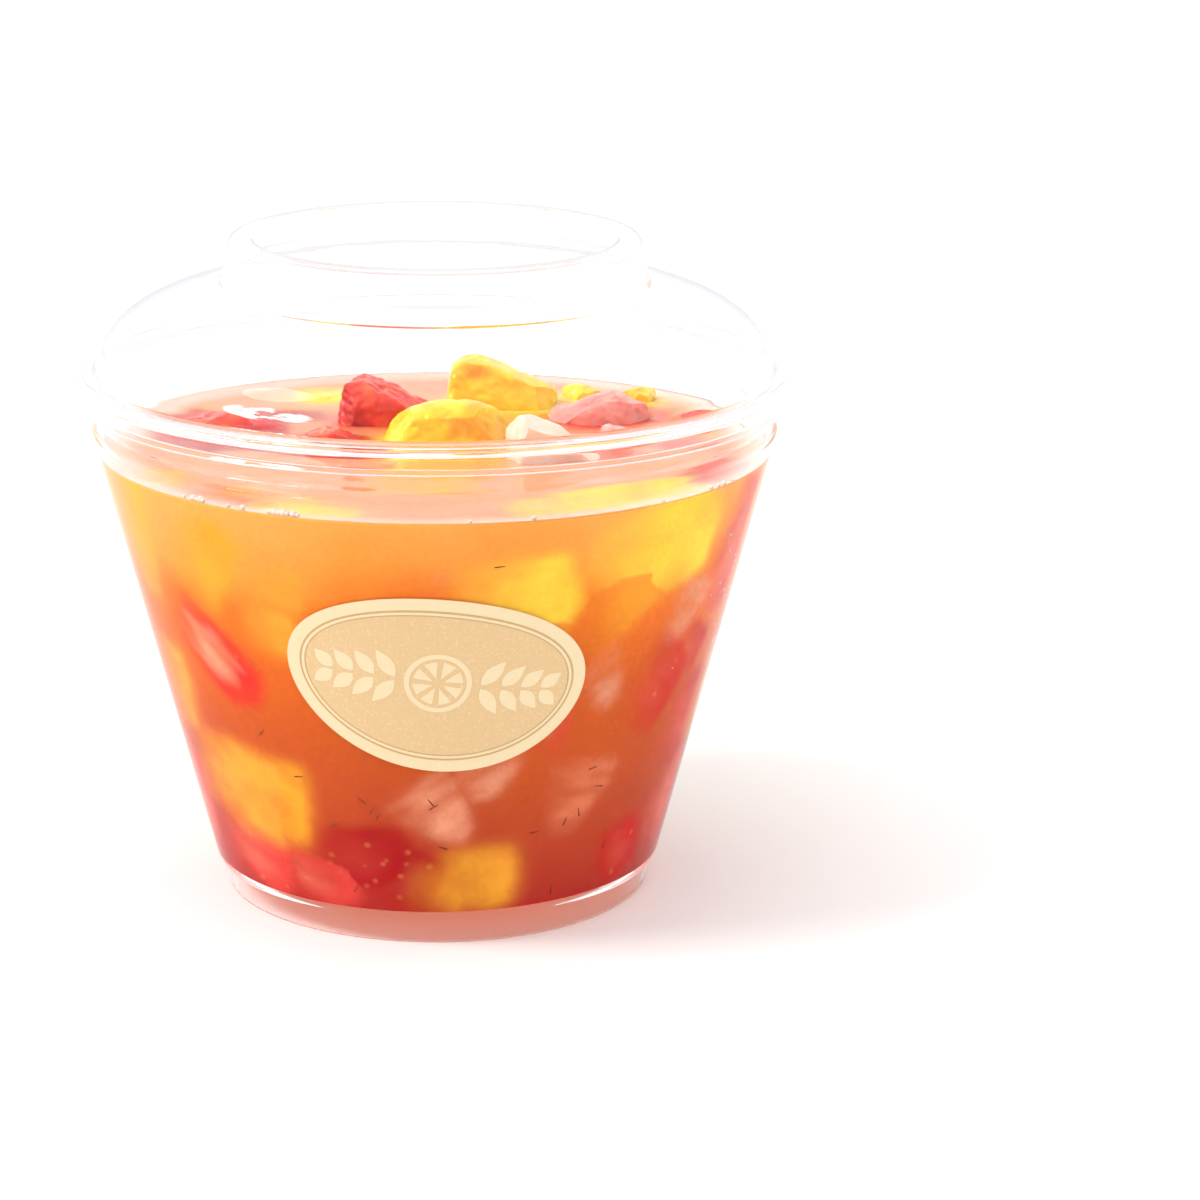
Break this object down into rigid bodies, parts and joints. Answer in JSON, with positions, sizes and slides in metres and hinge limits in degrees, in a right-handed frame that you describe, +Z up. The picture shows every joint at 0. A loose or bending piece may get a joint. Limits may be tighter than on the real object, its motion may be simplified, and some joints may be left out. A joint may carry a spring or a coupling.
{
  "type": "fruit cup",
  "caption": "Clear tapered dessert cup of diced mango, strawberry and pear in thick juice, with a press-on dome lid and an oval paper sticker.",
  "frame": {"origin": "centre of the foot, on the surface that the cup stands on", "axes": "+Z up the cup's axis; -Y towards the middle of the sticker; +X to the right of the sticker"},
  "size_m": [0.099, 0.099, 0.0915],
  "materials": {
    "clear_plastic": "clear glossy PET",
    "juice": "wet thick cloudy fruit juice",
    "mango": "wet cut fruit with fine fibres",
    "strawberry": "wet cut fruit, red skin and paler heart",
    "pear": "wet translucent cut fruit",
    "sticker_paper": "cream and gold printed paper"
  },
  "bodies": {
    "root": {"cup": "clear_plastic", "lid": "clear_plastic", "juice": "juice", "sticker": "sticker_paper", "strawberry_chunk": "strawberry", "strawberry_right": "strawberry", "strawberry_small": "strawberry", "strawberry_far_right": "strawberry", "strawberry_left": "strawberry", "strawberry_mid": "strawberry", "strawberry_sliver": "strawberry", "mango_front": "mango", "mango_rear": "mango", "mango_back_right": "mango", "mango_back_left": "mango", "peach_back_right": "mango", "pear_wedge": "pear"}
  },
  "joints": []
}
